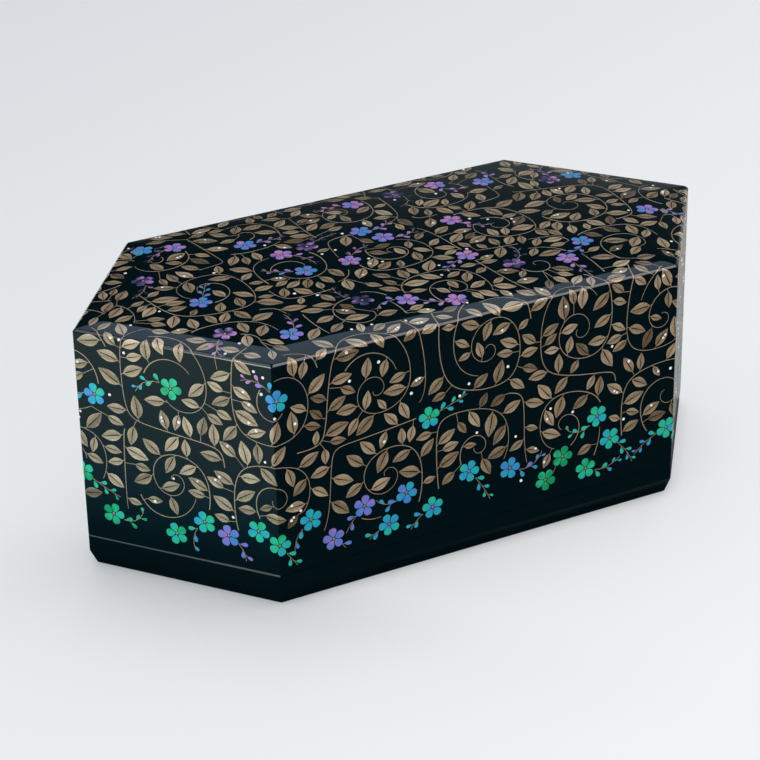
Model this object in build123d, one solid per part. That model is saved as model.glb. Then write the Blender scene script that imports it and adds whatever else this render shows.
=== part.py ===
from build123d import *
import math
import os

# A six-sided lacquered box for tea utensils, with a deep lift-off lid and a lift-out tray.
# Millimetres. The origin is in the middle of the underside, +X points to a tip, and +Z is up.

# Outline: two long sides, at y = -half_width and y = half_width, and a tip at each end of X
half_length = 168.0
half_width = 80.0
corner_x = 107.0
corner_radius = 1.0

# Heights above the surface that the box stands on
seam_height = 16.0
panel_seat = 116.0
rim_height = 122.5
inner_wall_top = 105.0

# The domed top: a nearly flat middle that rolls down over a margin to a bevelled rim
crown_rise = 2.6
middle_rise = 0.3
margin_width = 30.0
rim_bevel = 1.2

# Lid
lid_wall_thickness = 6.0
lid_step_depth = 3.0
lid_step_gap = 0.2
lid_edge_chamfer = 0.35

# Plinth
plinth_chamfer_height = 8.0
plinth_chamfer_inset = 3.0
plinth_edge_chamfer = 0.6

# Base
lid_clearance = 0.4
inner_wall_thickness = 5.0
inner_wall_lead = 1.2
floor_recess = 2.0
floor_thickness = 6.0

# Tray
tray_clearance = 0.6
tray_wall_thickness = 3.5
tray_floor_thickness = 3.0
tray_depth = 22.0
tray_rim_thickness = 2.5
tray_rim_gap = 1.0
tray_rim_radius = 0.8

# Splines: a strip of wood let into both walls of a mitred corner, stopped short of both ends
spline_width_share = 0.8
spline_thickness_share = 0.27
spline_stop = 4.0
plinth_spline_stop = 1.5

# Depths, measured inwards from the outline and square to each side
base_outer_depth = lid_wall_thickness + lid_clearance
base_inner_depth = base_outer_depth + inner_wall_thickness
tray_outer_depth = base_inner_depth + tray_clearance
tray_inner_depth = tray_outer_depth + tray_wall_thickness
tray_rim_depth = lid_wall_thickness + tray_rim_gap

floor_top = floor_recess + floor_thickness
tray_bottom = inner_wall_top - tray_depth
tray_floor_top = tray_bottom + tray_floor_thickness
tray_rim_top = inner_wall_top + tray_rim_thickness

# The slanted sides: the way they face, and how far they lie from the middle
slant_run = half_length - corner_x
slant_length = math.hypot(slant_run, half_width)
slant_nx = half_width / slant_length
slant_ny = slant_run / slant_length
slant_apothem = half_length * slant_nx
slant_angle = math.degrees(math.atan2(slant_ny, slant_nx))

# Each pair of opposite sides: the angle that it faces, and its distance from the middle
side_pairs = [(90, half_width), (slant_angle, slant_apothem), (-slant_angle, slant_apothem)]
side_names = ["front", "front_right", "back_right", "back", "back_left", "front_left"]

beyond = 10.0  # how far cutting shapes reach past what they cut
sector_depth = 30.0


def outline(depth):
    """Corners of the outline moved inwards by depth, anticlockwise from the front left one."""
    y = half_width - depth
    x = (slant_apothem - depth - y * slant_ny) / slant_nx
    tip = (slant_apothem - depth) / slant_nx
    return [(-x, -y), (x, -y), (tip, 0), (x, y), (-x, y), (-tip, 0)]


def slab(corners, low, high):
    """A flat block with the given corners, between two heights."""
    return extrude(Pos(0, 0, low) * make_face(Polyline(*corners, close=True)), high - low)


def prism(depth, low, high):
    """The outline at a depth, as a block between two heights."""
    return slab(outline(depth), low, high)


def shaped_block(section):
    """Sweeps a section straight across each pair of sides and keeps what all three share.

    The upright corners are rounded, and section(apothem) is a closed face in X and Z."""
    shape = None
    for angle, apothem in side_pairs:
        sweep_across = extrude(Plane.XZ * section(apothem), 2 * half_length, both=True)
        turned = Rot(0, 0, angle) * sweep_across
        shape = turned if shape is None else shape & turned
    tall = prism(0, -beyond, rim_height + beyond)
    return shape & fillet(tall.edges().filter_by(Axis.Z), corner_radius)


def mirrored_face(right_half):
    """A closed face from the right half of its outline, listed from the bottom to the top."""
    left_half = [(-x, z) for x, z in reversed(right_half)]
    return make_face(Polyline(*right_half, *left_half, close=True))


def plinth_section(apothem):
    return mirrored_face([
        (apothem - plinth_chamfer_inset, 0),
        (apothem, plinth_chamfer_height),
        (apothem, seam_height - plinth_edge_chamfer),
        (apothem - plinth_edge_chamfer, seam_height),
    ])


def lid_wall_section(apothem):
    return mirrored_face([
        (apothem - lid_edge_chamfer, seam_height),
        (apothem, seam_height + lid_edge_chamfer),
        (apothem, panel_seat),
    ])


def lid_top_section(apothem):
    """Flat below; above, a bevel, a margin roll and a wide arc over the middle."""
    shoulder = apothem - margin_width
    shoulder_height = rim_height + crown_rise - middle_rise
    crown = (0, rim_height + crown_rise)
    rim_x = apothem - rim_bevel
    middle_slope = 2 * math.atan(middle_rise / shoulder)
    downhill = (math.cos(middle_slope), -math.sin(middle_slope))

    middle = ThreePointArc((-shoulder, shoulder_height), crown, (shoulder, shoulder_height))
    right_roll = TangentArc((shoulder, shoulder_height), (rim_x, rim_height), tangent=downhill)
    right_edge = Polyline((rim_x, rim_height), (apothem, rim_height - rim_bevel), (apothem, panel_seat))
    underside = Line((apothem, panel_seat), (-apothem, panel_seat))
    left_side = [mirror(right_roll, Plane.YZ), mirror(right_edge, Plane.YZ)]
    return make_face([middle, right_roll, right_edge, underside, *left_side])


def corner_splines(outer_depth, inner_depth, low, high):
    """A hidden key at each mitre, square to the mitre plane, in the middle of the wall."""
    thickness = inner_depth - outer_depth
    key = Box(thickness * spline_thickness_share, thickness * spline_width_share, high - low)
    splines = []
    for (outer_x, outer_y), (inner_x, inner_y) in zip(outline(outer_depth), outline(inner_depth)):
        mitre_angle = math.degrees(math.atan2(inner_y - outer_y, inner_x - outer_x))
        middle = Pos((outer_x + inner_x) / 2, (outer_y + inner_y) / 2, (low + high) / 2)
        splines.append(middle * Rot(0, 0, mitre_angle) * key)
    return splines


def side_sector(index, low, high):
    """The room between the mitre planes at the two ends of one side."""
    outside, inside = outline(-beyond), outline(sector_depth)
    after = (index + 1) % len(side_names)
    return slab([outside[index], outside[after], inside[after], inside[index]], low, high)


def mitred_walls(prefix, shell, low, high):
    """Cuts a closed shell at its corners into six walls, each named for its side."""
    return {
        f"{prefix}_{name}": shell & side_sector(index, low, high)
        for index, name in enumerate(side_names)
    }


def lid_nodes():
    top = shaped_block(lid_top_section)
    step = prism(lid_wall_thickness + lid_step_gap, panel_seat - lid_step_depth, panel_seat)
    splines = corner_splines(0, lid_wall_thickness, seam_height + spline_stop, panel_seat - spline_stop)
    shell = shaped_block(lid_wall_section) - prism(lid_wall_thickness, seam_height, panel_seat)
    nodes = {"lid_top_panel": top + step, "lid_corner_splines": splines}
    nodes.update(mitred_walls("lid_wall", shell - splines, seam_height, panel_seat))
    return nodes


def plinth_nodes():
    spline_top = seam_height - plinth_spline_stop
    splines = corner_splines(0, base_outer_depth, plinth_chamfer_height, spline_top)
    ring = shaped_block(plinth_section) - prism(base_outer_depth, 0, seam_height)
    nodes = {"plinth_corner_splines": splines}
    nodes.update(mitred_walls("plinth", ring - splines, 0, seam_height))
    return nodes


def base_nodes():
    floor = prism(base_outer_depth, floor_recess, floor_top)
    splines = corner_splines(base_outer_depth, base_inner_depth,
                             floor_top + spline_stop, inner_wall_top - spline_stop)
    block = prism(base_outer_depth, floor_top, inner_wall_top)
    block = chamfer(block.edges().group_by(Axis.Z)[-1], inner_wall_lead)
    shell = block - prism(base_inner_depth, floor_top, inner_wall_top)
    nodes = {"base_floor_panel": floor, "inner_wall_corner_splines": splines}
    nodes.update(mitred_walls("inner_wall", shell - splines, floor_top, inner_wall_top))
    return nodes


def tray_nodes():
    floor = prism(tray_outer_depth, tray_bottom, tray_floor_top)
    splines = corner_splines(tray_outer_depth, tray_inner_depth,
                             tray_floor_top + spline_stop, inner_wall_top - spline_stop)
    block = prism(tray_outer_depth, tray_floor_top, inner_wall_top)
    shell = block - prism(tray_inner_depth, tray_floor_top, inner_wall_top)
    rim_block = prism(tray_rim_depth, inner_wall_top, tray_rim_top)
    rim = rim_block - prism(tray_inner_depth, inner_wall_top, tray_rim_top)
    rim = fillet(rim.edges().group_by(Axis.Z)[-1], tray_rim_radius)
    nodes = {"tray_floor": floor, "tray_corner_splines": splines}
    nodes.update(mitred_walls("tray_wall", shell - splines, tray_floor_top, inner_wall_top))
    nodes.update(mitred_walls("tray_rim", rim, inner_wall_top, tray_rim_top))
    return nodes


def write_nodes(nodes):
    os.makedirs("parts", exist_ok=True)
    for name, shape in nodes.items():
        solids = shape if isinstance(shape, list) else shape.solids()
        export_step(Compound(children=list(solids)), f"parts/{name}.step")


write_nodes({**lid_nodes(), **plinth_nodes(), **base_nodes(), **tray_nodes()})
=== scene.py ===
import functools
import itertools
import math
import random

import bpy
import numpy as np
from mathutils import Matrix, Vector


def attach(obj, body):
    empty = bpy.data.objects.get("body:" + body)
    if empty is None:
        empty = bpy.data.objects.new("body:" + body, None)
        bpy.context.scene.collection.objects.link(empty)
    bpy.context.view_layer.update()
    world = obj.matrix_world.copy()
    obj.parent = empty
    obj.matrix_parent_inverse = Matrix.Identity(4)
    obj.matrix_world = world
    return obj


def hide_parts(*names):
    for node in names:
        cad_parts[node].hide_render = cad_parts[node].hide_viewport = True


# A long hexagonal box in black lacquer with gold and shell ornament, dressed over its CAD frame.
# Lengths in the dictionaries and the drawings are millimetres, and mm turns them into metres.

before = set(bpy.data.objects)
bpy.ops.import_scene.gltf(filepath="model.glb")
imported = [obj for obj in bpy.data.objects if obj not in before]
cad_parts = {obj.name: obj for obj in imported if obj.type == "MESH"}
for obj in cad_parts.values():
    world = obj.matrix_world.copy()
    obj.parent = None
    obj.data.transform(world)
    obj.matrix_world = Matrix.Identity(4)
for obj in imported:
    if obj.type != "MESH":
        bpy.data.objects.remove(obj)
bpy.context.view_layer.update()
scene = bpy.context.scene
scene.view_settings.view_transform = "Standard"
mmPerMetre = 1000
mm = 1 / mmPerMetre

boxShape = {
    "halfLength": 168.0, "halfWidth": 80.0, "cornerX": 107.0, "cornerRadius": 1.0,
    "panelSeat": 116.0, "rimHeight": 122.5, "crownRise": 2.6, "middleRise": 0.3,
    "marginWidth": 30.0, "rimBevel": 1.2, "stepDepth": 3.0, "stepInset": 6.2, "creaseBlend": 20.0,
    "rimProfile": ((0.0, 1.11), (0.2, 0.79), (1.05, 0.08), (1.4, 0.0)),
}

halfLength, halfWidth, cornerX = (boxShape[name] for name in ("halfLength", "halfWidth", "cornerX"))
slantRun = halfLength - cornerX
slantLength = math.hypot(slantRun, halfWidth)
slantX = halfWidth / slantLength
slantY = slantRun / slantLength
slantApothem = halfLength * slantX


def outline(depth):
    # corners of the outline moved inwards, anticlockwise from the front left one
    y = halfWidth - depth
    x = (slantApothem - depth - y * slantY) / slantX
    tip = (slantApothem - depth) / slantX
    return [Vector(p) for p in ((-x, -y), (x, -y), (tip, 0), (x, y), (-x, y), (-tip, 0))]


def camber(fromMiddle, apothem):
    # height of the dome's section: a wide arc over the middle, then a tighter roll to the rim
    rise, drop = boxShape["middleRise"], boxShape["crownRise"] - boxShape["middleRise"]
    shoulder = apothem - boxShape["marginWidth"]
    crown = boxShape["rimHeight"] + boxShape["crownRise"]
    middleRadius = (shoulder ** 2 + rise ** 2) / (2 * rise)
    middle = crown - middleRadius + np.sqrt(middleRadius ** 2 - np.minimum(fromMiddle, shoulder) ** 2)
    slope = 2 * math.atan(rise / shoulder)
    run = boxShape["marginWidth"] - boxShape["rimBevel"]
    rollRadius = (run ** 2 + drop ** 2) / (2 * (drop * math.cos(slope) - run * math.sin(slope)))
    centreX = shoulder - rollRadius * math.sin(slope)
    centreZ = crown - rise - rollRadius * math.cos(slope)
    roll = centreZ + np.sqrt(rollRadius ** 2 - (np.maximum(fromMiddle, shoulder) - centreX) ** 2)
    return np.where(fromMiddle < shoulder, middle, roll)


def domeHeight(x, y):
    # the lowest of the three cambers, blended a little so that no crease shows in the polish
    across = (np.abs(y), np.abs(x * slantX + y * slantY), np.abs(x * slantX - y * slantY))
    heights = [camber(a, b) for a, b in zip(across, (halfWidth, slantApothem, slantApothem))]
    lowest = np.minimum(np.minimum(heights[0], heights[1]), heights[2])
    spread = sum(np.exp(-boxShape["creaseBlend"] * (height - lowest)) for height in heights)
    return lowest - np.log(spread) / boxShape["creaseBlend"]


def hexColour(code):
    channels = [int(code[i:i + 2], 16) / 255 for i in (1, 3, 5)]
    return (*[c / 12.92 if c <= 0.04045 else ((c + 0.055) / 1.055) ** 2.4 for c in channels], 1.0)


def feed(node, links):
    # each input gets its source: a socket, or a node, of which the first live output is meant
    for name, source in links.items():
        if isinstance(source, bpy.types.Node):
            source = next(output for output in source.outputs if not output.is_unavailable)
        node.id_data.links.new(source, node.inputs[name])


def addNode(tree, kind, values=None, links=None, **settings):
    # one node with its settings, its fixed input values and what feeds it
    node = tree.nodes.new("ShaderNode" + kind)
    for name, value in settings.items():
        setattr(node, name, value)
    for name, value in (values or {}).items():
        node.inputs[name].default_value = value
    feed(node, links or {})
    return node


def newMaterial(name, shine):
    # a material with its Principled shader, the means to add nodes and the place of each point
    material = bpy.data.materials.new(name)
    material.use_nodes = True
    add = functools.partial(addNode, material.node_tree)
    shader = material.node_tree.nodes["Principled BSDF"]
    for socket, value in shine.items():
        shader.inputs[socket].default_value = value
    return material, add, shader, add("TexCoord").outputs["Object"]


def fillRamp(node, stops):
    # colour stops given as (place, hex colour)
    elements = node.color_ramp.elements
    while len(elements) > 1:
        elements.remove(elements[-1])
    elements[0].position, elements[0].color = stops[0][0], hexColour(stops[0][1])
    for place, colour in stops[1:]:
        elements.new(place).color = hexColour(colour)


def paint(shader, add, value, stops):
    # the material's colour follows a value from 0 to 1
    colour = add("ValToRGB", links={"Fac": value})
    fillRamp(colour, stops)
    feed(shader, {"Base Color": colour})


def makeUrushi():
    # Black urushi, brushed on and polished to a mirror with powdered horn: deep black with a faint
    # cool cast, so the eye reads it only by what it mirrors.
    look = {"body": "#041216", "ior": 1.35, "hazeSpan": 60.0, "roughLow": 0.012, "roughHigh": 0.035}
    shine = {"IOR": look["ior"], "Base Color": hexColour(look["body"])}
    material, add, shader, place = newMaterial("blackUrushi", shine)
    haze = add("TexNoise", {"Scale": mmPerMetre / look["hazeSpan"], "Detail": 3.0}, {"Vector": place})
    rough = add("MapRange", {"To Min": look["roughLow"], "To Max": look["roughHigh"]}, {"Value": haze})
    feed(shader, {"Roughness": rough})
    return material


def makeSprinkled(name, look):
    # Brown-black urushi sprinkled with gold flakes under a clear coat: a fine warm glitter, thin on
    # the inside of the box and dense on the tray's rim.
    shine = {"IOR": 1.4, "Metallic": look["metallic"], "Roughness": 0.4, "Coat Weight": 0.6,
             "Coat Roughness": 0.08}
    material, add, shader, place = newMaterial(name, shine)
    cells = add("TexVoronoi", {"Scale": mmPerMetre / look["flakeSize"]}, {"Vector": place})
    pick = add("SeparateColor", links={"Color": cells.outputs["Color"]})
    chosen = add("Math", {1: look["share"]}, {0: pick}, operation="LESS_THAN")
    near = add("Math", {1: look["reach"]}, {0: cells}, operation="LESS_THAN")
    fleck = add("Math", links={0: chosen, 1: near}, operation="MULTIPLY")
    colour = add("Mix", {"A": hexColour(look["ground"]), "B": hexColour(look["flake"])},
                 {"Factor": fleck}, data_type="RGBA")
    feed(shader, {"Base Color": colour})
    return material


def makeGold():
    # Gold powder sprinkled on wet lacquer and burnished: a soft brown gold, finely grained, with
    # lighter edges and faint strokes along each leaf, and duller where the rim is rubbed.
    look = {"grain": 0.35, "strokes": (9.0, 2.0, 9.0), "strokeShare": 0.6, "edgeSharpness": 3.0,
            "edgeLift": 0.26, "edgeBase": -0.07, "Metallic": (0.45, 0.0), "Roughness": (0.27, 0.65),
            "tones": ((0.2, "#7c674c"), (0.55, "#c3a988"), (0.9, "#efd7b2"))}
    shine = {"IOR": 1.5, "Coat Weight": 1.0, "Coat Roughness": 0.06, "Coat IOR": 1.4}
    material, add, shader, place = newMaterial("goldPowder", shine)
    rubbed = add("Attribute", attribute_name="rubbed").outputs["Fac"]
    for socket in ("Metallic", "Roughness"):
        fresh, worn = look[socket]
        wear = add("MapRange", {"To Min": fresh, "To Max": worn}, {"Value": rubbed})
        feed(shader, {socket: wear})
    grain = add("Attribute", attribute_name="leafGrain").outputs["Vector"]
    parts = add("SeparateXYZ", links={"Vector": grain}).outputs
    powder = add("TexNoise", {"Scale": mmPerMetre / look["grain"], "Detail": 2.0}, {"Vector": place})
    stretched = add("Mapping", {"Scale": look["strokes"]}, {"Vector": grain})
    strokes = add("TexNoise", {"Scale": 2.0, "Detail": 2.0}, {"Vector": stretched})
    mixed = add("Mix", {"Factor": look["strokeShare"]}, {"A": powder, "B": strokes})
    rise = add("Math", {1: look["edgeSharpness"]}, {0: parts["Y"]}, operation="POWER")
    edge = add("Math", {1: look["edgeLift"], 2: look["edgeBase"]}, {0: rise}, operation="MULTIPLY_ADD")
    # each leaf's tone, with the painted shade between its two halves
    tone = add("Math", {1: -0.5}, {0: parts["Z"]}, operation="ADD")
    edged = add("Math", links={0: mixed, 1: edge}, operation="ADD")
    total = add("Math", links={0: edged, 1: tone}, operation="ADD")
    paint(shader, add, total, look["tones"])
    return material


def makeShell():
    # Thin abalone shell, cut and polished flush: bands of green, turquoise, blue and violet that drift
    # across each petal, and a few petals painted dark blue, a painted shade that stands for petals turned
    # away from the light.
    look = {"driftSpan": 5.0, "drift": 0.14,
            "hues": ((0.0, "#16a468"), (0.18, "#2fcb98"), (0.34, "#25b8c6"), (0.5, "#458edb"),
                     (0.64, "#8c80d6"), (0.76, "#cf8ccb"), (0.88, "#4c4a80"), (1.0, "#232a40"))}
    shine = {"Metallic": 0.25, "Roughness": 0.22, "IOR": 1.6}
    material, add, shader, place = newMaterial("abaloneShell", shine)
    hue = add("Attribute", attribute_name="leafGrain").outputs["Vector"]
    parts = add("SeparateXYZ", links={"Vector": hue}).outputs
    cloud = add("TexNoise", {"Scale": mmPerMetre / look["driftSpan"], "Detail": 1.0}, {"Vector": place})
    shift = add("MapRange", {"From Min": 0.3, "From Max": 0.7, "To Min": -look["drift"],
                             "To Max": look["drift"]}, {"Value": cloud})
    total = add("Math", links={0: shift, 1: parts["Z"]}, operation="ADD")
    paint(shader, add, total, look["hues"])
    return material


def makePearl():
    # Dots of pale mother-of-pearl: near white, softly glossy.
    look = {"cloudSpan": 2.0, "tones": ((0.3, "#d8d6cc"), (0.7, "#ffffff"))}
    material, add, shader, place = newMaterial("pearlDots", {"Roughness": 0.18, "IOR": 1.6})
    cloud = add("TexNoise", {"Scale": mmPerMetre / look["cloudSpan"]}, {"Vector": place})
    paint(shader, add, cloud, look["tones"])
    return material


def makeSplineWood():
    # Planed cypress for the hidden keys: pale straight grain.
    look = {"ringSpan": 1.5, "stretch": (1.0, 1.0, 0.05), "tones": ((0.35, "#b08d5e"), (0.65, "#d9bd8e"))}
    material, add, shader, place = newMaterial("planedCypress", {"Roughness": 0.6})
    stretched = add("Mapping", {"Scale": look["stretch"]}, {"Vector": place})
    rings = add("TexNoise", {"Scale": mmPerMetre / look["ringSpan"], "Detail": 4.0}, {"Vector": stretched})
    paint(shader, add, rings, look["tones"])
    return material


flakeLooks = {
    "thin": {"ground": "#150d09", "flake": "#c4944a", "flakeSize": 0.85, "share": 0.28, "reach": 0.42,
             "metallic": 0.1},
    "dense": {"ground": "#5a4220", "flake": "#cfa862", "flakeSize": 0.55, "share": 0.8, "reach": 0.5,
              "metallic": 0.35},
}
urushi, gold, shell, pearl, cypress = makeUrushi(), makeGold(), makeShell(), makePearl(), makeSplineWood()
innerUrushi = makeSprinkled("sprinkledUrushi", flakeLooks["thin"])
rimUrushi = makeSprinkled("goldDustedUrushi", flakeLooks["dense"])
print("materials ready")


def nodeFinish(name):
    if "splines" in name:
        return cypress
    if name.startswith("tray_rim"):
        return rimUrushi
    if name.startswith(("inner_wall", "base_floor", "tray")):
        return innerUrushi
    return urushi


for nodeName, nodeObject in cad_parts.items():
    for materialSlot in nodeObject.material_slots:
        materialSlot.link = "OBJECT"
        materialSlot.material = nodeFinish(nodeName)


def selectOnly(piece):
    bpy.ops.object.select_all(action="DESELECT")
    piece.select_set(True)
    bpy.context.view_layer.objects.active = piece


def editAll(piece):
    # the piece alone selected, in edit mode, all over
    selectOnly(piece)
    bpy.ops.object.mode_set(mode="EDIT")
    bpy.ops.mesh.select_all(action="SELECT")


def leaveEdit():
    bpy.ops.object.mode_set(mode="OBJECT")


def finishPiece(piece, material, sharpAngle):
    # every piece of the scene rides on the lid
    selectOnly(piece)
    bpy.ops.object.shade_smooth_by_angle(angle=math.radians(sharpAngle))
    piece.data.materials.clear()
    piece.data.materials.append(material)
    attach(piece, "lid")


topBoard = {
    "cornerSteps": 12, "sideSteps": 18, "cornerGrowth": 0.4, "rollStep": 1.5, "middleStep": 4.0,
    "sharpAngle": 10.5,
}


def ringPoints(depth):
    # one ring of the top board: its six corners are arcs that open out towards the middle
    steps, radius = topBoard["cornerSteps"], boxShape["cornerRadius"] + topBoard["cornerGrowth"] * depth
    radius = min(radius, 0.5 * (halfWidth - depth))
    corners, arcs, points = outline(depth), [], []
    for i, corner in enumerate(corners):
        before = (corners[i - 1] - corner).normalized()
        after = (corners[(i + 1) % 6] - corner).normalized()
        halfTurn = (math.pi - before.angle(after)) / 2
        inward = (before + after).normalized()
        centre = corner + inward * (radius / math.cos(halfTurn))
        turns = [halfTurn * (2 * k / (steps - 1) - 1) for k in range(steps)]
        arcs.append([centre + Matrix.Rotation(turn, 2) @ (-inward) * radius for turn in turns])
    for arc, nextArc in zip(arcs, arcs[1:] + arcs[:1]):
        points += arc
        for k in range(1, topBoard["sideSteps"]):
            share = (1 - math.cos(math.pi * k / topBoard["sideSteps"])) / 2
            points.append(arc[-1].lerp(nextArc[0], share))
    return points


def topBoardRings():
    # from the middle of the underside, out and round the rim, to the ridge of the dome; each ring has
    # its depth and its height, or how far it lies under the dome
    innermost = halfWidth - 0.01
    seat, inset = boxShape["panelSeat"], boxShape["stepInset"]
    under = seat - boxShape["stepDepth"]
    rings = [(innermost, under, 0), (inset + 1, under, 0), (inset, under, 0), (inset, seat, 0)]
    rings.append((0.0, seat, 0))
    rings += [(depth, None, drop) for depth, drop in boxShape["rimProfile"]]
    depth = rings[-1][0] + 0.3
    while depth < halfWidth - 0.1:
        rings.append((depth, None, 0))
        depth += topBoard["rollStep"] if depth < boxShape["marginWidth"] else topBoard["middleStep"]
    return rings + [(innermost, None, 0)]


def makeTopBoard():
    # a grid is wrapped round the rings, and its seam and its two middles are merged
    rings = topBoardRings()
    loops = [ringPoints(depth) for depth, height, drop in rings]
    rows, columns = len(rings) - 1, len(loops[0])
    bpy.ops.mesh.primitive_grid_add(x_subdivisions=columns, y_subdivisions=rows, size=1)
    board = bpy.context.object
    board.name = "lidTopBoard"
    for vertex in board.data.vertices:
        row = round((vertex.co.y + 0.5) * rows)
        x, y = loops[row][round((vertex.co.x + 0.5) * columns) % columns]
        depth, height, drop = rings[row]
        vertex.co = Vector((x, y, domeHeight(x, y) - drop if height is None else height)) * mm
    editAll(board)
    bpy.ops.mesh.remove_doubles(threshold=0.03 * mm)
    bpy.ops.mesh.normals_make_consistent(inside=False)
    leaveEdit()
    finishPiece(board, urushi, topBoard["sharpAngle"])
    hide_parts("lid_top_panel")


makeTopBoard()
print("top board ready")

# The ornament is drawn flat and then laid on the box. On the walls its first number runs round the
# outline from the front left corner, its second is the height, and the drawing folds over the rim.
# On the top they are x and y.
sideLengths = [2 * cornerX, slantLength, slantLength] * 2
sideStarts = np.concatenate(([0.0], np.cumsum(sideLengths)))
perimeter = float(sideStarts[-1])
sideCorners = np.array([tuple(corner) for corner in outline(0)])
sideDirections = (np.roll(sideCorners, -1, axis=0) - sideCorners) / np.array(sideLengths)[:, None]
sideNormals = np.stack((sideDirections[:, 1], -sideDirections[:, 0]), axis=1)
sideTurns = np.arccos(np.sum(sideDirections * np.roll(sideDirections, 1, axis=0), axis=1))
bevelDepths, bevelDrops = (np.array(numbers) for numbers in zip(*boxShape["rimProfile"]))
bevelHeights = domeHeight(0 * bevelDepths, halfWidth - bevelDepths) - bevelDrops
bevelPlaces = np.concatenate(([0.0], np.cumsum(np.hypot(np.diff(bevelDepths), np.diff(bevelHeights)))))
bevelAngles = np.array((0.25, 0.65, 1.0, 1.45))
bevelStart, bevelTurn = float(bevelHeights[0]), float(bevelPlaces[-1])


def turnedBy(angle, directions):
    cos, sin = np.cos(angle), np.sin(angle)
    return np.stack((cos * directions[:, 0] - sin * directions[:, 1],
                     sin * directions[:, 0] + cos * directions[:, 1]), axis=1)


def wallPoints(flat):
    # from (round, height, out) to x, y and z; above the wall is the rim's bevel, and then the dome
    radius = boxShape["cornerRadius"]
    around, height, out = np.mod(flat[:, 0], perimeter), flat[:, 1], flat[:, 2]
    side = np.clip(np.searchsorted(sideStarts, around, side="right") - 1, 0, 5)
    along = around - sideStarts[side]
    outward = sideNormals[side]
    base = sideCorners[side] + sideDirections[side] * along[:, None]
    for corner, gap, hand in ((side, along, -1), ((side + 1) % 6, sideStarts[side + 1] - around, 1)):
        halfTurn = sideTurns[corner] / 2
        reach = radius * np.tan(halfTurn)
        near = (gap < reach)[:, None]
        turned = turnedBy(hand * halfTurn * np.clip(1 - gap / reach, 0, 1), sideNormals[side])
        middle = turnedBy(hand * halfTurn, sideNormals[side])
        centre = sideCorners[corner] - middle * (radius / np.cos(halfTurn))[:, None]
        base = np.where(near, centre + turned * radius, base)
        outward = np.where(near, turned, outward)
    over = np.clip(height - bevelStart, 0, None)
    past = np.clip(over - bevelTurn, 0, None)
    angle = np.where(over > 0, np.interp(over, bevelPlaces, bevelAngles), 0.0)
    angle = np.where(past > 0, math.pi / 2, angle)
    depth = np.interp(over, bevelPlaces, bevelDepths) + past
    plan = base + outward * (out * np.cos(angle) - depth)[:, None]
    rise = np.where(over > 0, np.interp(over, bevelPlaces, bevelHeights), height)
    rise = np.where(past > 0, domeHeight(plan[:, 0], plan[:, 1]), rise)
    return np.column_stack((plan, rise + out * np.sin(angle)))


def topPoints(flat):
    return np.column_stack((flat[:, :2], domeHeight(flat[:, 0], flat[:, 1]) + flat[:, 2]))


def rimDepth(x, y):
    return min(halfWidth - abs(y), slantApothem - abs(x) * slantX - abs(y) * slantY)


scroll = {
    "seed": 11, "eyeColumns": 16, "wallRows": (54.0, 99.0), "topRows": (-52.0, 0.0, 52.0),
    "topColumns": (-3, -2, -1, 0, 1, 2, 3), "eyeJitter": 6.0, "wallRowJitter": 0.7, "eyeReach": 34.0,
    "eyeRadius": 1.8, "inwardPull": 0.3, "cellCount": 118, "seedShift": 17.0, "stemGap": 12.6,
    "startShare": 0.97, "meetShare": 0.55, "loopShare": 0.5, "loopSkip": 9, "stemStep": 1.5,
    "longestStem": 110, "shortestStem": 7, "footLevel": 33.0, "footWaves": ((9, 4.0, 1.3), (23, 2.5, 0.4)),
    "cornerClear": (3.0, 7.0), "overRim": 10.0, "topMargin": 2.2, "stemRadius": (0.25, 0.14),
    "stalkRadius": (0.14, 0.14), "flatness": 0.33,
}
eyeSpacing = perimeter / scroll["eyeColumns"]
cellSize = perimeter / scroll["cellCount"]
wallTop = bevelStart + bevelTurn + scroll["overRim"]


def pointAt(a, b, angle, reach):
    return a + reach * math.cos(angle), b + reach * math.sin(angle)


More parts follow.
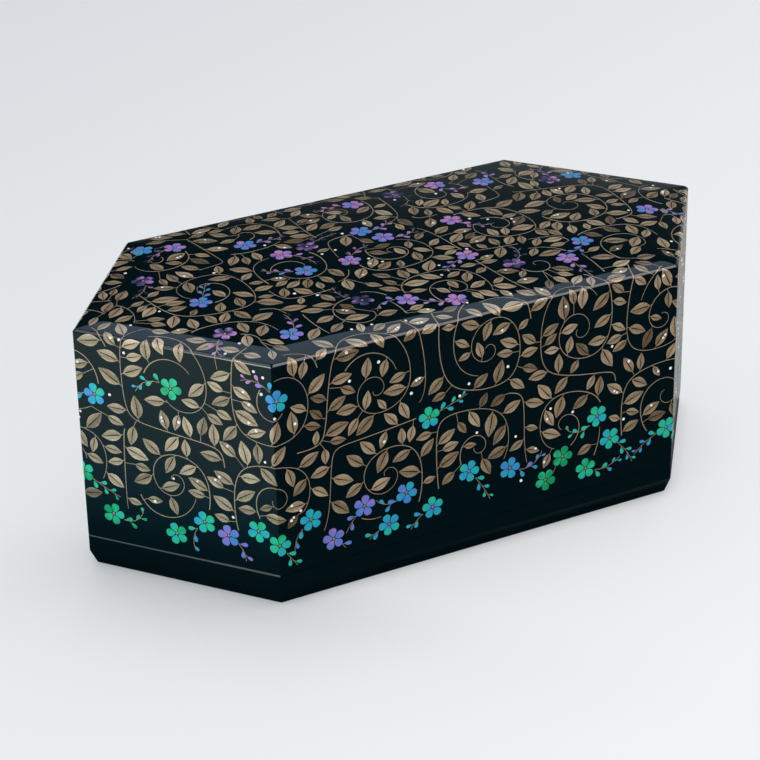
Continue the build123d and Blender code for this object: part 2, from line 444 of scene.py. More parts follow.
class Face:
    # one face of the drawing, the walls or the top: its limits, the eyes of its scrolls, what is drawn
    # on it and what covers it
    def __init__(self, wraps, inside, bounds, eyes):
        self.wraps, self.inside, self.bounds = wraps, inside, bounds
        self.eyes = np.array([(a, b) for a, b, hand in eyes])
        self.hands = np.array([hand for a, b, hand in eyes])
        self.cells, self.stemCells = {}, {}
        self.stems, self.leaves, self.stalks = [], [], []
        self.petals, self.hearts, self.dots = [], [], []

    def span(self, across):
        # a distance round the box is taken the short way
        return (across + perimeter / 2) % perimeter - perimeter / 2 if self.wraps else across

    def distance(self, a, b, other):
        return math.hypot(self.span(a - other[0]), b - other[1])

    def cellKey(self, a, b, right=0, up=0):
        column = math.floor(a / cellSize) + right
        return column % scroll["cellCount"] if self.wraps else column, math.floor(b / cellSize) + up

    def around(self, cells, a, b, rings=1):
        # what the cells about a point hold
        for right in range(-rings, rings + 1):
            for up in range(-rings, rings + 1):
                yield from cells.get(self.cellKey(a, b, right, up), ())

    def isFree(self, a, b, radius, gap):
        marks = self.around(self.cells, a, b)
        return all(self.distance(a, b, mark) >= radius + mark[2] + gap for mark in marks)

    def stemNear(self, a, b, limit):
        # cells are narrower than the stems' spacing, so two rings of them are searched
        return any(self.distance(a, b, item) < limit for item in self.around(self.stemCells, a, b, 2))

    def nearestStem(self, a, b):
        own = [item for item in self.around(self.stemCells, a, b) if item[2]]
        return min(own, key=lambda item: self.distance(a, b, item), default=None)

    def crossing(self, a, b):
        # where a point of the wall drawing lies on the top, if it has crossed the rim
        if not self.wraps or b < bevelStart + bevelTurn:
            return None
        x, y, z = wallPoints(np.array([[a % perimeter, b, 0.0]]))[0]
        return float(x), float(y)

    def cover(self, a, b, radius):
        self.cells.setdefault(self.cellKey(a, b), []).append((a, b, radius))
        crossed = self.crossing(a, b)
        if crossed:
            self.other.cover(*crossed, radius)

    def addStemPoint(self, a, b, own=True):
        # own is True for a stem of this face, and False for one that comes over the rim
        self.stemCells.setdefault(self.cellKey(a, b), []).append((a, b, own))
        crossed = self.crossing(a, b)
        if crossed:
            self.other.addStemPoint(*crossed, False)

    def anywhere(self, rng):
        return rng.uniform(*self.bounds[0]), rng.uniform(*self.bounds[1])

    def flow(self, a, b):
        # the way a stem grows here: round the nearest eyes, and slowly in towards them
        across, up = self.span(a - self.eyes[:, 0]), b - self.eyes[:, 1]
        reach = np.hypot(across, up) + 1e-6
        weight = np.exp(-(reach / scroll["eyeReach"]) ** 2) / reach
        pull = scroll["inwardPull"]
        flowA = float(np.sum(weight * (-self.hands * up - pull * across)))
        flowB = float(np.sum(weight * (self.hands * across - pull * up)))
        size = math.hypot(flowA, flowB) + 1e-9
        return flowA / size, flowB / size, float(reach.min())


def makeEyes(rng, rows, columns, rowJitter):
    # eyes lie in rows, each turning against its neighbours, and none quite in line
    jitter = scroll["eyeJitter"]
    return [(column * eyeSpacing + rng.uniform(-1, 1) * jitter,
             level + rng.uniform(-rowJitter, rowJitter) * jitter, 1 if (row + column) % 2 else -1)
            for row, level in enumerate(rows) for column in columns]


def lowerLimit(a):
    # the drawing ends in an uneven line and leaves the foot of the walls black
    turn = 2 * math.pi * a / perimeter
    waves = (height * math.sin(count * turn + phase) for count, height, phase in scroll["footWaves"])
    return sum(waves, scroll["footLevel"])


def insideWalls(a, b):
    # above the foot and up to a line on the top, but clear of the corners where they meet the rim
    side = min(int(np.searchsorted(sideStarts, a % perimeter, side="right")) - 1, 5)
    along = a % perimeter - sideStarts[side]
    belowRim, besideCorner = scroll["cornerClear"]
    if b > bevelStart - belowRim and min(along, sideLengths[side] - along) < besideCorner:
        return False
    return lowerLimit(a) < b < wallTop


def insideTop(a, b):
    return rimDepth(a, b) > scroll["topMargin"]


def growStem(face, a, b):
    # follow the flow both ways from a seed, until the stem meets another, itself, a blossom or a limit
    step, gap = scroll["stemStep"], scroll["stemGap"]
    points = [(a, b)]
    for way in (1, -1):
        here = (a, b)
        for count in range(scroll["longestStem"]):
            flowA, flowB, eye = face.flow(*here)
            half = (here[0] + way * flowA * step / 2, here[1] + way * flowB * step / 2)
            flowA, flowB, eye = face.flow(*half)
            here = (here[0] + way * flowA * step, here[1] + way * flowB * step)
            if eye < scroll["eyeRadius"] or not face.inside(*here) or not face.isFree(*here, 0.1, 0.1):
                break
            older = points[:-scroll["loopSkip"]]
            if any(face.distance(*here, other) < gap * scroll["loopShare"] for other in older):
                break
            if face.stemNear(*here, gap * scroll["meetShare"]):
                break
            points.append(here)
        points.reverse()
    return points


def drawStems(face):
    # evenly spaced stems: each new one starts at a set distance beside one that is there
    gap = scroll["stemGap"]
    waiting = [(a + scroll["seedShift"], b) for a, b in face.eyes]
    reached = 0
    while waiting or reached < len(face.stems):
        if not waiting:
            stem = face.stems[reached]
            reached += 1
            for (a0, b0), (a, b), (a1, b1) in zip(stem[::2], stem[1::2], stem[2::2]):
                size = math.hypot(a1 - a0, b1 - b0)
                waiting += [(a - hand * (b1 - b0) / size * gap, b + hand * (a1 - a0) / size * gap)
                            for hand in (1, -1)]
            continue
        a, b = waiting.pop(0)
        taken = face.stemNear(a, b, gap * scroll["startShare"]) or not face.isFree(a, b, 0.3, 0.3)
        if taken or not face.inside(a, b):
            continue
        points = growStem(face, a, b)
        if len(points) >= scroll["shortestStem"]:
            face.stems.append(points)
            for point in points:
                face.addStemPoint(*point)
    for points in face.stems:
        for point in points:
            face.cover(*point, scroll["stemRadius"][0])


leafLook = {
    "length": (9.6, 12.6), "slimness": (0.47, 0.54), "curl": 0.1, "gap": 0.55, "nodeStep": (5.8, 7.2),
    "stalk": 1.5, "stalkSwing": 0.75, "scales": (1.0, 0.9, 0.8, 0.68), "swings": (48, 38, 58, 70),
    "endScales": (0.95, 0.8, 0.65), "gapDarts": 26000, "gapScales": (1.0, 0.85, 0.72, 0.6),
    "gapRoom": 1.7, "gapStep": 0.8, "smallest": 7.7, "circles": ((0.18, 0.33), (0.48, 0.49), (0.8, 0.33)),
    "tone": (0.5, 0.08), "darkShare": 0.08, "darker": 0.3, "paintedHalfShade": 0.07,
    "ribGap": 0.06, "segments": 6, "proud": {"wall": 0.04, "top": 0.07}, "sunk": 0.07,
}


def leafPoint(leaf, along, across):
    forward = leaf["length"] * along
    sideways = leaf["width"] * across + leaf["curl"] * leaf["length"] * along ** 2
    cos, sin = math.cos(leaf["angle"]), math.sin(leaf["angle"])
    return leaf["a"] + forward * cos - sideways * sin, leaf["b"] + forward * sin + sideways * cos


def placeLeaf(face, a, b, angle, length, rng):
    # a leaf is drawn if there is room for its tip and for the circles that stand for its blade
    look = leafLook
    leaf = {"a": a, "b": b, "angle": angle, "length": length,
            "width": length * rng.uniform(*look["slimness"]), "curl": rng.uniform(-1, 1) * look["curl"],
            "tone": rng.gauss(*look["tone"]) - (look["darker"] if rng.random() < look["darkShare"] else 0),
            "paintedHalfShade": rng.uniform(-look["paintedHalfShade"], look["paintedHalfShade"])}
    circles = [(*leafPoint(leaf, along, 0), leaf["width"] * share) for along, share in look["circles"]]
    tip = (*leafPoint(leaf, 1.0, 0), 0.2)
    if not all(face.inside(x, y) and face.isFree(x, y, r, look["gap"]) for x, y, r in (tip, *circles)):
        return None
    for circle in circles:
        face.cover(*circle)
    face.leaves.append(leaf)
    return leaf


def drawLeaves(face, seed):
    # leaves stand on alternate sides of each stem, as large as their neighbours leave room for
    rng = random.Random(seed)
    look, step = leafLook, scroll["stemStep"]
    for points in face.stems:
        hand, along = rng.choice((-1, 1)), rng.uniform(1, 3)
        while along < (len(points) - 1) * step - 2:
            i = min(int(along / step) + 1, len(points) - 2)
            (a0, b0), (a, b), (a1, b1) = points[i - 1:i + 2]
            heading = math.atan2(b1 - b0, a1 - a0)
            length = rng.uniform(*look["length"])
            swings = list(look["swings"])
            rng.shuffle(swings)
            for scale, swing in itertools.product(look["scales"], swings):
                angle = heading + hand * math.radians(swing)
                stalkAngle = heading + hand * math.radians(swing * look["stalkSwing"])
                foot = pointAt(a, b, stalkAngle, look["stalk"] * scale)
                leaf = placeLeaf(face, *foot, angle, length * scale, rng)
                if leaf:
                    face.stalks.append([(a, b), foot, leafPoint(leaf, 0.1, 0)])
                    break
            along += rng.uniform(*look["nodeStep"])
            hand = -hand
        (a0, b0), (a, b) = points[-2:]
        heading = math.atan2(b - b0, a - a0)
        for scale in look["endScales"]:
            if placeLeaf(face, a, b, heading, look["length"][0] * scale, rng):
                break


def fillGaps(face, seed):
    # a leaf on a longer stalk goes wherever a stem can reach an empty place
    rng = random.Random(seed)
    look = leafLook
    for dart in range(look["gapDarts"]):
        a, b = face.anywhere(rng)
        if not face.inside(a, b) or not face.isFree(a, b, look["gapRoom"], 0.1):
            continue
        near = face.nearestStem(a, b)
        if not near:
            continue
        start, reach = near[:2], face.distance(a, b, near)
        angle = math.atan2(b - start[1], face.span(a - start[0]))
        stalk = [pointAt(*start, angle, k) for k in np.arange(look["gapStep"], reach, look["gapStep"])]
        if not all(face.isFree(x, y, 0.1, 0.05) for x, y in stalk if face.distance(x, y, start) > 1.2):
            continue
        for scale in look["gapScales"]:
            length = look["length"][0] * scale * rng.uniform(1.0, 1.15)
            turn = angle + rng.uniform(-0.5, 0.5)
            if length > look["smallest"] and placeLeaf(face, a, b, turn, length, rng):
                face.stalks.append([start, *stalk, pointAt(*start, angle, reach)])
                for point in stalk:
                    face.cover(*point, 0.12)
                break


blossomLook = {
    "seed": 29, "petals": 5, "petalLength": 4.9, "petalWidth": 4.3, "heart": 0.85, "heartRadius": 0.7,
    "room": 6.0, "hueDrift": (-0.02, 0.09), "bend": 0.35, "budStep": 3.1, "budSwing": 38, "budStalk": 1.2,
    "budSlimness": 0.6, "budRoom": 0.45, "budLengths": (3.8, 3.5, 3.1, 2.7, 2.3), "lowestBud": 20.5,
    "wallCount": 60, "wallLowest": 27.0, "wallSteps": (-5.0, 8.0), "wallHeadings": (-160, -135, -45, -20),
    "wallHues": (0.04, 0.14, 0.24, 0.34, 0.44, 0.56), "highCount": 14, "highRange": (50, 108),
    "highHues": (0.1, 0.25, 0.4), "topCount": 28, "topReach": (150, 74), "topMargin": 11,
    "paintedDarkShare": 0.35, "paintedDarkHues": (0.84, 0.93), "topHues": (0.5, 0.72),
}


def addPetal(face, foot, angle, length, width, tone):
    face.petals.append({"a": foot[0], "b": foot[1], "angle": angle, "length": length, "width": width,
                        "curl": 0.0, "tone": tone, "paintedHalfShade": 0.0})


def placeBlossom(face, a, b, heading, hue, spread, rng):
    # a five-petalled blossom and a short bending twig of buds
    look = blossomLook
    room = look["room"]
    if not face.isFree(a, b, room, 0.3):
        return False
    covered = [(a, b, room)]
    first = rng.uniform(0, 2 * math.pi)
    drift = rng.uniform(*look["hueDrift"])
    for k in range(look["petals"]):
        angle = first + 2 * math.pi * k / look["petals"]
        addPetal(face, pointAt(a, b, angle, look["heart"]), angle, look["petalLength"], look["petalWidth"],
                 hue + rng.uniform(-spread, spread))
    face.hearts.append((a, b, look["heartRadius"]))
    bend = rng.uniform(-look["bend"], look["bend"])
    twig = [pointAt(a, b, heading, room - 0.2)]
    hand = rng.choice((-1, 1))
    for k, length in enumerate(look["budLengths"]):
        node, angle = twig[-1], heading + hand * math.radians(look["budSwing"])
        bud = pointAt(*node, angle, look["budStalk"])
        middle, budRoom = pointAt(*bud, angle, length / 2), length * look["budRoom"]
        low = face.wraps and min(middle[1], node[1]) < look["lowestBud"]
        if low or not face.isFree(*node, 0.3, 0.3):
            break
        if face.isFree(*middle, budRoom, 0.2):
            addPetal(face, bud, angle, length, length * look["budSlimness"], hue + (k + 1) * drift)
            face.stalks.append([node, bud])
            covered.append((*middle, budRoom))
        heading += bend
        twig.append(pointAt(*node, heading, look["budStep"]))
        hand = -hand
    if len(twig) > 1:
        face.stalks.append(twig)
    for circle in covered + [(*node, 0.3) for node in twig]:
        face.cover(*circle)
    return True


def drawBlossoms():
    # many along the foot of the walls, a few higher up, and then the top's, the last of them painted dark as
    # painted shade
    look = blossomLook
    rng = random.Random(look["seed"])
    for k in range(look["wallCount"]):
        a = (k + rng.uniform(-0.3, 0.3)) * perimeter / look["wallCount"]
        b = max(look["wallLowest"], lowerLimit(a) + look["wallSteps"][k % 2] + rng.uniform(-4.0, 4.0))
        heading = math.radians(rng.choice(look["wallHeadings"]) + rng.uniform(-12, 12))
        placeBlossom(walls, a, b, heading, rng.choice(look["wallHues"]), 0.07, rng)
    for k in range(look["highCount"]):
        a, b = (k + rng.random()) * perimeter / look["highCount"], rng.uniform(*look["highRange"])
        placeBlossom(walls, a, b, rng.uniform(0, 2 * math.pi), rng.choice(look["highHues"]), 0.08, rng)
    placed = 0
    while placed < look["topCount"]:
        x, y = (rng.uniform(-reach, reach) for reach in look["topReach"])
        if rimDepth(x, y) < look["topMargin"]:
            continue
        dim = placed % 20 >= 20 * (1 - look["paintedDarkShare"])
        hue = rng.uniform(*look["paintedDarkHues" if dim else "topHues"])
        placed += placeBlossom(top, x, y, rng.uniform(0, 2 * math.pi), hue, 0.05, rng)


dotLook = {
    "radius": 0.76, "sizes": (0.85, 1.1), "flatness": 0.3, "count": {"wall": 60, "top": 26}, "room": 0.95,
    "tries": 60000, "onLeaf": 0.12, "pairShare": 0.2, "besideRib": 0.22,
}


def drawDots(face, count, seed):
    # some lie free between the leaves, and the others on a leaf beside its rib, now and then in pairs
    rng = random.Random(seed)
    look = dotLook
    for dart in range(look["tries"]):
        if len(face.dots) >= count:
            break
        a, b = face.anywhere(rng)
        if face.inside(a, b) and face.nearestStem(a, b) and face.isFree(a, b, look["room"], 0.1):
            face.dots.append((a, b, look["radius"] * rng.uniform(*look["sizes"])))
            face.cover(a, b, look["room"] + 0.5)
    for leaf in face.leaves:
        if rng.random() < look["onLeaf"]:
            along, across = rng.uniform(0.4, 0.7), rng.choice((-look["besideRib"], look["besideRib"]))
            face.dots.append((*leafPoint(leaf, along, across), look["radius"] * rng.uniform(*look["sizes"])))
            if rng.random() < look["pairShare"]:
                along -= 2 * look["radius"] / leaf["length"] + 0.03
                face.dots.append((*leafPoint(leaf, along, across), look["radius"] * look["sizes"][0]))


eyeRng = random.Random(scroll["seed"])
walls = Face(True, insideWalls, ((0.0, perimeter), (24.0, wallTop)),
             makeEyes(eyeRng, scroll["wallRows"], range(scroll["eyeColumns"]), scroll["wallRowJitter"]))
top = Face(False, insideTop, ((-halfLength, halfLength), (-halfWidth, halfWidth)),
           makeEyes(eyeRng, scroll["topRows"], scroll["topColumns"], 1))
walls.other, top.other = top, walls
faces = {"wall": walls, "top": top}
drawSeeds = {"wall": (3, 5, 6), "top": (8, 9, 10)}
drawBlossoms()
for prefix, face in faces.items():
    leafSeed, gapSeed, dotSeed = drawSeeds[prefix]
    drawStems(face)
    drawLeaves(face, leafSeed)
    fillGaps(face, gapSeed)
    drawDots(face, dotLook["count"][prefix], dotSeed)
print("drawing ready:", len(walls.leaves), "and", len(top.leaves), "leaves")


def readTemplate(piece):
    # the corners and faces of a small shape that is then copied many times
    selectOnly(piece)
    for modifier in list(piece.modifiers):
        bpy.ops.object.modifier_apply(modifier=modifier.name)
    corners = np.array([tuple(vertex.co) for vertex in piece.data.vertices])
    faces = [tuple(polygon.vertices) for polygon in piece.data.polygons]
    bpy.data.objects.remove(piece)
    return corners, faces


def makeLeafTemplate():
    # half a blade is a strip, widest before its middle; the other half is its mirror image, with a
    # gap for the rib between them
    bpy.ops.mesh.primitive_grid_add(x_subdivisions=leafLook["segments"], y_subdivisions=1, size=1)
    blade = bpy.context.object
    for vertex in blade.data.vertices:
        along, side = vertex.co.x + 0.5, round(vertex.co.y + 0.5)
        half = max(0.5 * math.sin(math.pi * along ** 0.88) ** 0.85 if 0 < along < 1 else 0, 0.02)
        rib = min(leafLook["ribGap"] * (1 - along) ** 0.5, half - 0.015)
        vertex.co = (along, half if side else rib, 0)
    otherHalf = blade.modifiers.new("otherHalf", "MIRROR")
    otherHalf.use_axis = (False, True, False)
    otherHalf.use_mirror_merge = False
    thick = blade.modifiers.new("thickness", "SOLIDIFY")
    thick.thickness = 1
    thick.offset = -1
    return readTemplate(blade)


def makePetalTemplate():
    # a round petal, narrower at its foot and with a small notch at its tip
    bpy.ops.mesh.primitive_circle_add(vertices=14, radius=0.5, fill_type="NGON")
    petal = bpy.context.object
    for vertex in petal.data.vertices:
        along, side = vertex.co.x + 0.5, vertex.co.y
        notch = 0.07 * max(0, 1 - abs(side) * 5) * (along > 0.5)
        vertex.co = (along - notch, side * (0.55 + 0.45 * min(1, along * 1.6)), 0)
    editAll(petal)
    bpy.ops.mesh.extrude_region_move(TRANSFORM_OT_translate={"value": (0, 0, -1)})
    bpy.ops.mesh.select_all(action="SELECT")
    bpy.ops.mesh.normals_make_consistent(inside=False)
    leaveEdit()
    return readTemplate(petal)


def makeDotTemplate():
    bpy.ops.mesh.primitive_uv_sphere_add(segments=10, ring_count=6, radius=1)
    return readTemplate(bpy.context.object)


def copyFaces(template, count):
    corners, faces = template
    return [tuple(k * len(corners) + i for i in face) for k in range(count) for face in faces]


def evenGrain(flat, grain):
    return np.tile(np.array(grain), (len(flat), 1))


def stamp(template, marks, proud, sunk):
    # copies of a template in the flat drawing, with where each point lies on its leaf and its tone; the tone
    # holds a painted shade that makes one half of each leaf a little lighter and the other a little darker,
    # as a tilted blade would shade
    corners = template[0]
    flat, grain = [], []
    for mark in marks:
        a, b = leafPoint(mark, corners[:, 0], corners[:, 1])
        flat.append(np.column_stack((a, b, proud + (proud + sunk) * corners[:, 2])))
        tone = mark["tone"] + mark["paintedHalfShade"] * np.sign(corners[:, 1])
        grain.append(np.column_stack((corners[:, 0], np.abs(corners[:, 1]) * 2, tone)))
    return np.concatenate(flat), copyFaces(template, len(marks)), np.concatenate(grain)


def stampDots(template, dots):
    sizes = [np.array((radius, radius, radius * dotLook["flatness"])) for a, b, radius in dots]
    middles = [np.array((a, b, 0.0)) for a, b, radius in dots]
    flat = np.concatenate([middle + template[0] * size for middle, size in zip(middles, sizes)])
    return flat, copyFaces(template, len(dots)), evenGrain(flat, (0.5, 0.5, 0.5))


def stampStems(face):
    # every stem and stalk is a bevelled curve, thick where it starts and thin at its end
    curve = bpy.data.curves.new("stems", "CURVE")
    curve.dimensions = "3D"
    curve.twist_mode = "Z_UP"
    curve.bevel_depth = 1.0
    curve.bevel_resolution = 0
    curve.use_fill_caps = True
    lines = [(points, scroll["stemRadius"]) for points in face.stems]
    lines += [(points, scroll["stalkRadius"]) for points in face.stalks]
    for points, (thick, thin) in lines:
        shift = -perimeter * math.floor(points[0][0] / perimeter) if face.wraps else 0
        spline = curve.splines.new("POLY")
        spline.points.add(len(points) - 1)
        for i, (a, b) in enumerate(points):
            spline.points[i].co = (a + shift, b, 0, 1)
            spline.points[i].radius = thick + (thin - thick) * i / (len(points) - 1)
    stems = bpy.data.objects.new("stems", curve)
    scene.collection.objects.link(stems)
    selectOnly(stems)
    bpy.ops.object.convert(target="MESH")
    flat, faces = readTemplate(bpy.context.object)
    flat[:, 2] *= scroll["flatness"]
    return flat, faces, evenGrain(flat, (0.5, 0.3, 0.5))


inlaySharpAngle = 40.0


def cutFolds(piece, lowest, highest):
    # creases where the box folds: each upright corner, also a turn before and after, and the bevel
    upright, level = [], [-0.4, *bevelPlaces, bevelTurn + 0.4]
    for turn in (-1, 0, 1):
        for start, sideTurn in zip(sideStarts, sideTurns):
            corner, reach = start + turn * perimeter, boxShape["cornerRadius"] * math.tan(sideTurn / 2)
            upright += [corner + share * reach for share in (-1, -0.4, 0.4, 1)]
    folds = [((a, a, 0), (1, 0, 0)) for a in upright if lowest < a < highest]
    folds += [((bevelStart + b, bevelStart + b, 0), (0, 1, 0)) for b in level]
    editAll(piece)
    for point, direction in folds:
        bpy.ops.mesh.select_all(action="SELECT")
        bpy.ops.mesh.bisect(plane_co=point, plane_no=direction)
    leaveEdit()


def layOn(name, stamped, face, material):
    # the flat copies get their creases, and then they are laid on the box
    flat, shapes, grain = stamped
    mesh = bpy.data.meshes.new(name)
    mesh.from_pydata(flat.tolist(), [], shapes)
    mesh.attributes.new("leafGrain", "FLOAT_VECTOR", "POINT").data.foreach_set("vector", grain.ravel())
    piece = bpy.data.objects.new(name, mesh)
    scene.collection.objects.link(piece)
    if face.wraps:
        cutFolds(piece, flat[:, 0].min(), flat[:, 0].max())
    flat = np.zeros(len(mesh.vertices) * 3)
    mesh.vertices.foreach_get("co", flat)
    flat = flat.reshape(-1, 3)
    laid = wallPoints(flat) if face.wraps else topPoints(flat)
    onBevel = (flat[:, 1] > bevelStart - 0.2) & (flat[:, 1] < bevelStart + bevelTurn + 0.2) & face.wraps
    mesh.attributes.new("rubbed", "FLOAT", "POINT").data.foreach_set("value", onBevel.astype(float))
    mesh.vertices.foreach_set("co", (laid * mm).ravel())
    mesh.update()
    finishPiece(piece, material, inlaySharpAngle)


leafTemplate, petalTemplate, dotTemplate = makeLeafTemplate(), makePetalTemplate(), makeDotTemplate()
for prefix, face in faces.items():
    depths = leafLook["proud"][prefix], leafLook["sunk"]
    layOn(prefix + "Leaves", stamp(leafTemplate, face.leaves, *depths), face, gold)
    layOn(prefix + "Stems", stampStems(face), face, gold)
    layOn(prefix + "Petals", stamp(petalTemplate, face.petals, *depths), face, shell)
    layOn(prefix + "Hearts", stampDots(dotTemplate, face.hearts), face, gold)
    layOn(prefix + "Dots", stampDots(dotTemplate, face.dots), face, pearl)
    print(prefix, "ornament laid on")


view = {
    "azimuth": -27.94, "elevation": 26.31, "distance": 1367.24, "target": (43.3, 102.72, 0.0),
    "roll": -1.16, "focalPixels": 2532.76, "imagePixels": 760, "sensor": 36.0, "farthest": 60,
}


def makeCamera():
    camera = bpy.data.objects.new("photoCamera", bpy.data.cameras.new("photoCamera"))
    scene.collection.objects.link(camera)
    camera.data.sensor_width = view["sensor"]
    camera.data.lens = view["focalPixels"] * view["sensor"] / view["imagePixels"]
    azimuth, elevation = math.radians(view["azimuth"]), math.radians(view["elevation"])
    back = Vector((math.sin(azimuth) * math.cos(elevation), -math.cos(azimuth) * math.cos(elevation),
                   math.sin(elevation)))
    right = Vector((math.cos(azimuth), math.sin(azimuth), 0))
    upright = Matrix((right, back.cross(right), back)).transposed()
    turned = upright @ Matrix.Rotation(math.radians(view["roll"]), 3, "Z")
    place = Vector(view["target"]) + back * view["distance"]
    camera.matrix_world = Matrix.Translation(place * mm) @ turned.to_4x4()
    camera.data.clip_end = view["farthest"]
    scene.camera = camera


makeCamera()

stageLook = {
    "near": "#f4f5f6", "far": "#d2d6da", "nearAt": -300.0, "farAt": 900.0,
    "greyerTowards": (-0.406, 0.914, 0.0), "floorRadius": 9000.0,
    "glowLeft": (0.27, 0.6), "glowElsewhere": (0.6, 0.78), "glowReach": 75.0,
    "leftEdge": (-30.0, 5.0), "rightShare": 0.44, "contactEdge": (-3.0, 6.0), "contactGlow": 0.45,
    "ambient": "#f4f6fa", "ambientAbove": 0.62, "ambientLow": 1.45,
    # the floor's painted reflection, dark at the box as painted shade: how far out it lightens on each side,
    # its colours on the left, and how bright it gets on the right
    "leftReach": 250.0, "rightReach": 6.0, "turnOver": 90.0,
    "leftPaintedReflection": [(0.0, "#000000"), (0.07, "#07222e"), (0.14, "#1f4a5c"), (0.23, "#4a96a6"),
                  (0.33, "#7fb9cb"), (0.44, "#a6cfdb"), (0.66, "#bfe6ee"), (0.86, "#d4f6f6")],
    "studio": [(0.0, "#d2d6da"), (0.08, "#9aa0a5"), (0.14, "#3c464b"), (0.2, "#0f171a"), (0.3, "#0a1114")],
    "window": "#6a7478", "windowAcross": (0.38, 0.62), "windowUp": (0.33, 0.41),
}


def seenRays(add):
    # 1 for the rays that show a thing directly, and 1 for those that show it mirrored or through glass
    rays = add("LightPath").outputs
    links = {0: rays["Is Glossy Ray"], 1: rays["Is Transmission Ray"]}
    return rays["Is Camera Ray"], add("Math", links=links, operation="MAXIMUM")


def awayFromBox(add, place):
    # how far a point of the floor lies outside the box's outline, in metres
    flat = add("VectorMath", links={0: place}, operation="ABSOLUTE")
    depths = []
    for direction, apothem in (((slantX, slantY, 0), slantApothem), ((0, 1, 0), halfWidth)):
        reach = add("VectorMath", {1: direction}, {0: flat}, operation="DOT_PRODUCT")
        depths.append(add("Math", {1: apothem * mm}, {0: reach}, operation="SUBTRACT"))
    return add("Math", links=dict(enumerate(depths)), operation="MAXIMUM")


def makeFloor():
    # a pale sweep of paper, a little greyer far back, on which part of the shadow shows; for the polish it
    # is replaced by a painted reflection, dark close to the box, and on the left further out, as painted
    # shade
    look = stageLook
    bpy.ops.mesh.primitive_circle_add(vertices=96, radius=look["floorRadius"] * mm, fill_type="NGON")
    floor = bpy.context.object
    floor.name = "paleFloor"
    material, add, shader, place = newMaterial("palePaper", {"Roughness": 0.9, "Specular IOR Level": 0.0})
    parts = add("SeparateXYZ", links={"Vector": place}).outputs
    away = awayFromBox(add, place)
    seen, mirrored = seenRays(add)

    # its colour
    along = add("VectorMath", {1: look["greyerTowards"]}, {0: place}, operation="DOT_PRODUCT")
    back = add("MapRange", {"From Min": look["nearAt"] * mm, "From Max": look["farAt"] * mm},
               {"Value": along})
    colour = add("Mix", {"A": hexColour(look["near"]), "B": hexColour(look["far"])},
                 {"Factor": back}, data_type="RGBA")
    feed(shader, {"Base Color": colour})

    # how much of it glows for the camera: less on the left, near the box and right under its edge
    leftwards = add("VectorMath", {1: (-slantX, -slantY, 0)}, {0: place}, operation="DOT_PRODUCT")
    low, high = [(slantApothem + edge) * mm for edge in look["leftEdge"]]
    near, far = [
        add("MapRange", {"From Min": low, "From Max": high, "To Min": elsewhere, "To Max": left},
            {"Value": leftwards})
        for left, elsewhere in zip(look["glowLeft"], look["glowElsewhere"])]
    glowing = add("MapRange", {"From Max": look["glowReach"] * mm},
                  {"Value": away, "To Min": near, "To Max": far})
    low, high = [edge * mm for edge in look["contactEdge"]]
    contact = add("MapRange", {"From Min": low, "From Max": high, "To Min": look["contactGlow"]},
                  {"Value": away})
    clear = add("Math", links={0: glowing, 1: contact}, operation="MULTIPLY")
    share = add("Math", links={0: seen, 1: clear}, operation="MULTIPLY")
    glow = add("Emission", links={"Color": colour})
    shown = add("MixShader", links={0: share, 1: shader, 2: glow})

    # what the polish mirrors of it: a painted reflection, black at the box's foot as painted shade, pale
    # teal further out on the left and a dimmed copy of the floor's colour on the right
    leftPlace = add("MapRange", {"From Max": look["leftReach"] * mm}, {"Value": away})
    leftPaintedReflection = add("ValToRGB", links={"Fac": leftPlace})
    fillRamp(leftPaintedReflection, look["leftPaintedReflection"])
    rightPlace = add("MapRange", {"From Max": look["rightReach"] * mm, "To Max": look["rightShare"]},
                     {"Value": away})
    rightPaintedReflection = add("Mix", {"A": hexColour("#000000")}, {"Factor": rightPlace, "B": colour},
                     data_type="RGBA")
    turnOver = look["turnOver"] * mm
    turn = add("MapRange", {"From Min": -turnOver, "From Max": turnOver}, {"Value": parts["X"]})
    image = add("Mix", links={"Factor": turn, "A": leftPaintedReflection, "B": rightPaintedReflection}, data_type="RGBA")
    reflected = add("Emission", links={"Color": image})
    mixed = add("MixShader", links={0: mirrored, 1: shown, 2: reflected})
    feed(material.node_tree.nodes["Material Output"], {"Surface": mixed})
    floor.data.materials.append(material)


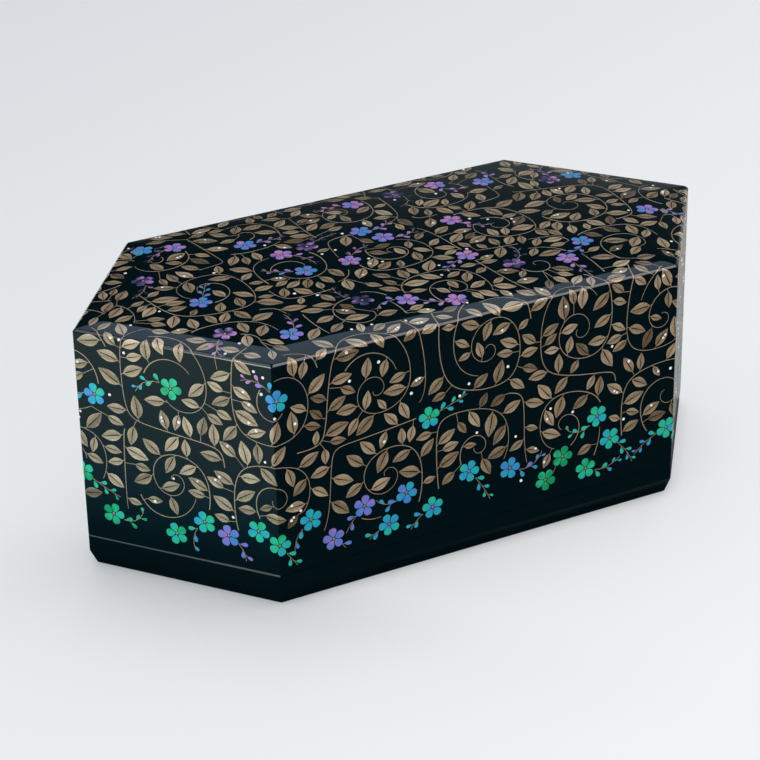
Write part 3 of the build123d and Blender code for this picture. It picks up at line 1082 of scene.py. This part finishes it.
def makeWorld():
    # what the polish mirrors: a pale horizon under a dark studio, with one dim window in it; all else
    # gets a soft even light
    look = stageLook
    world = bpy.data.worlds.new("studio")
    scene.world = world
    world.use_nodes = True
    world.node_tree.nodes.clear()
    add = functools.partial(addNode, world.node_tree)
    direction = add("TexCoord").outputs["Generated"]
    parts = add("SeparateXYZ", links={"Vector": direction}).outputs
    studio = add("ValToRGB", links={"Fac": parts["Z"]})
    fillRamp(studio, look["studio"])
    across = add("Math", links={0: parts["X"], 1: parts["Y"]}, operation="DIVIDE")
    (left, right), (low, high) = look["windowAcross"], look["windowUp"]
    side = add("MapRange", {"From Min": left, "From Max": right}, {"Value": across},
               interpolation_type="SMOOTHSTEP")
    above = add("MapRange", {"From Min": high, "From Max": low}, {"Value": parts["Z"]},
                interpolation_type="SMOOTHSTEP")
    window = add("Math", links={0: side, 1: above}, operation="MULTIPLY")
    mirrored = add("Mix", {"B": hexColour(look["window"])}, {"Factor": window, "A": studio},
                   data_type="RGBA", blend_type="LIGHTEN")
    shown = add("Background", links={"Color": mirrored})
    level = add("MapRange", {"To Min": look["ambientLow"], "To Max": look["ambientAbove"]},
                {"Value": parts["Z"]}, interpolation_type="SMOOTHSTEP")
    ambient = add("Background", {"Color": hexColour(look["ambient"])}, {"Strength": level})
    seen, glimpsed = seenRays(add)
    visible = add("Math", links={0: seen, 1: glimpsed}, operation="MAXIMUM")
    both = add("MixShader", links={0: visible, 1: ambient, 2: shown})
    add("OutputWorld", links={"Surface": both})


suns = {
    "keySun": {"from": (0.5, 0.42, 1.0), "level": 0.7, "angle": 60.0, "shadow": True},
    "leftFill": {"from": (-0.9, -0.35, 0.25), "level": 0.6, "angle": 60.0, "shadow": False},
}


def faceTowards(thing, direction):
    thing.rotation_mode = "QUATERNION"
    thing.rotation_quaternion = Vector(direction).to_track_quat("Z", "Y")


def makeSun(name, look):
    sun = bpy.data.objects.new(name, bpy.data.lights.new(name, "SUN"))
    sun.data.energy = look["level"]
    sun.data.angle = math.radians(look["angle"])
    sun.data.use_shadow = look["shadow"]
    faceTowards(sun, look["from"])
    sun.visible_glossy = False
    scene.collection.objects.link(sun)


# Cards that only the polish mirrors: each has its middle, the way it faces, its size, its colour and
# how bright it glows. The back card makes the pale band along the near margin, and the front card does
# the same for a view from behind. The strips make the light on the rim, one of them with a soft edge.
# The flags are black, and keep the floor's glow off the foot of the walls.
cards = {
    "backCard": {"place": (1816.0, 3564.0, 4740.0), "facing": (-0.454, -0.891, 0.0),
                 "size": (5200.0, 3520.0), "colour": "#b9d2ee", "level": 1.32},
    "frontCard": {"place": (-1816.0, -3564.0, 4740.0), "facing": (0.454, 0.891, 0.0),
                  "size": (5200.0, 3520.0), "colour": "#b9d2ee", "level": 1.32},
    "leftStrip": {"place": (-881.0, 92.0, 1054.0), "facing": (0.62, -0.11, -0.777), "size": (360.0, 360.0),
                  "colour": "#e0f0ff", "level": 4.2},
    "edgeStrip": {"place": (-1164.0, -256.0, 701.0), "facing": (0.856, 0.18, -0.483), "size": (300.0, 300.0),
                  "colour": "#fffdf6", "level": 19.0, "soft": True},
    "frontStrip": {"place": (228.0, -287.0, 468.0), "facing": (0.0, 0.51, -0.86), "size": (460.0, 90.0),
                   "colour": "#fff6f8", "level": 8.5},
    "frontFlag": {"place": (246.5, -394.0, 0.1), "facing": (0.0, 0.0, 1.0), "size": (707.0, 612.0),
                  "colour": "#000000", "level": 0.0},
    "sideFlag": {"place": (-507.0, -522.7, 0.5), "facing": (0.0, 0.0, 1.0), "size": (800.0, 755.0),
                 "colour": "#000000", "level": 0.0},
}
softEdge = {"outer": 0.5, "inner": 0.1}


def makeCard(name, look):
    bpy.ops.mesh.primitive_plane_add(size=1)
    card = bpy.context.object
    card.name = name
    width, height = look["size"]
    card.scale = (width * mm, height * mm, 1)
    faceTowards(card, look["facing"])
    card.location = Vector(look["place"]) * mm
    material = bpy.data.materials.new(name)
    material.use_nodes = True
    material.node_tree.nodes.clear()
    add = functools.partial(addNode, material.node_tree)
    glow = add("Emission", {"Color": hexColour(look["colour"]), "Strength": look["level"]})
    if look.get("soft"):
        place = add("TexCoord").outputs["Object"]
        fromMiddle = add("VectorMath", links={0: place}, operation="LENGTH")
        fade = add("MapRange", {"From Min": softEdge["outer"], "From Max": softEdge["inner"],
                                "To Max": look["level"]},
                   {"Value": fromMiddle}, interpolation_type="SMOOTHSTEP")
        feed(glow, {"Strength": fade})
    add("OutputMaterial", links={"Surface": glow})
    card.data.materials.append(material)
    card.visible_camera = card.visible_diffuse = card.visible_shadow = card.visible_transmission = False


makeFloor()
makeWorld()
for sunName, sunLook in suns.items():
    makeSun(sunName, sunLook)
for cardName, cardLook in cards.items():
    makeCard(cardName, cardLook)
print("stage ready")
